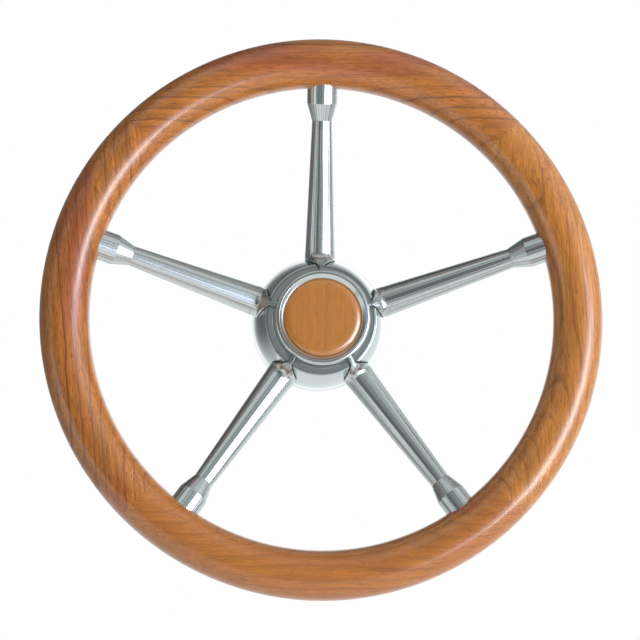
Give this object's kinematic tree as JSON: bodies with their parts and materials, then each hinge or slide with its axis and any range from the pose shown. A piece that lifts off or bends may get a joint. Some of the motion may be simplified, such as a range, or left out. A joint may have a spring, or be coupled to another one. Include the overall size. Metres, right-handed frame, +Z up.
{
  "type": "boat steering wheel",
  "caption": "Round boat steering wheel: varnished wooden rim, dished polished steel spokes, slotted bell-shaped hub cover and a wooden disc in the hub cap.",
  "frame": {"origin": "centre of the hub's back face, where the helm shaft enters", "axes": "+Y along the wheel's axis from the front to the back, along the shaft towards the helm; +Z up when the wheel stands upright with one spoke pointing up; +X to the right for a person looking at the front"},
  "size_m": [0.4, 0.0837, 0.4],
  "materials": {
    "rim_wood_level": "gloss varnish over teak, grain running left to right",
    "rim_wood_upright": "gloss varnish over teak, grain running up and down",
    "spline_wood": "bare planed teak",
    "cap_wood": "gloss varnish over teak, grain running up and down",
    "spoke_steel": "mirror-polished stainless steel",
    "ferrule_steel": "mirror-polished stainless steel",
    "hub_steel": "mirror-polished stainless steel",
    "cover_steel": "mirror-polished stainless steel",
    "cap_steel": "mirror-polished stainless steel",
    "thread_steel": "plain machined stainless steel",
    "seal_rubber": "matt black rubber"
  },
  "bodies": {
    "root": {"rim_board_top": "rim_wood_level", "rim_board_bottom": "rim_wood_level", "rim_board_left": "rim_wood_upright", "rim_board_right": "rim_wood_upright", "rim_spline_1": "spline_wood", "rim_spline_2": "spline_wood", "rim_spline_3": "spline_wood", "rim_spline_4": "spline_wood", "spoke_1": "spoke_steel", "spoke_2": "spoke_steel", "spoke_3": "spoke_steel", "spoke_4": "spoke_steel", "spoke_5": "spoke_steel", "rim_ferrule_1": "ferrule_steel", "rim_ferrule_2": "ferrule_steel", "rim_ferrule_3": "ferrule_steel", "rim_ferrule_4": "ferrule_steel", "rim_ferrule_5": "ferrule_steel", "rim_stud_1": "thread_steel", "rim_stud_2": "thread_steel", "rim_stud_3": "thread_steel", "rim_stud_4": "thread_steel", "rim_stud_5": "thread_steel", "hub_core": "hub_steel", "hub_cover": "cover_steel", "cap_body": "cap_steel", "cap_o_ring": "seal_rubber", "cap_insert": "cap_wood", "spoke_lock_screws": "thread_steel"}
  },
  "joints": []
}
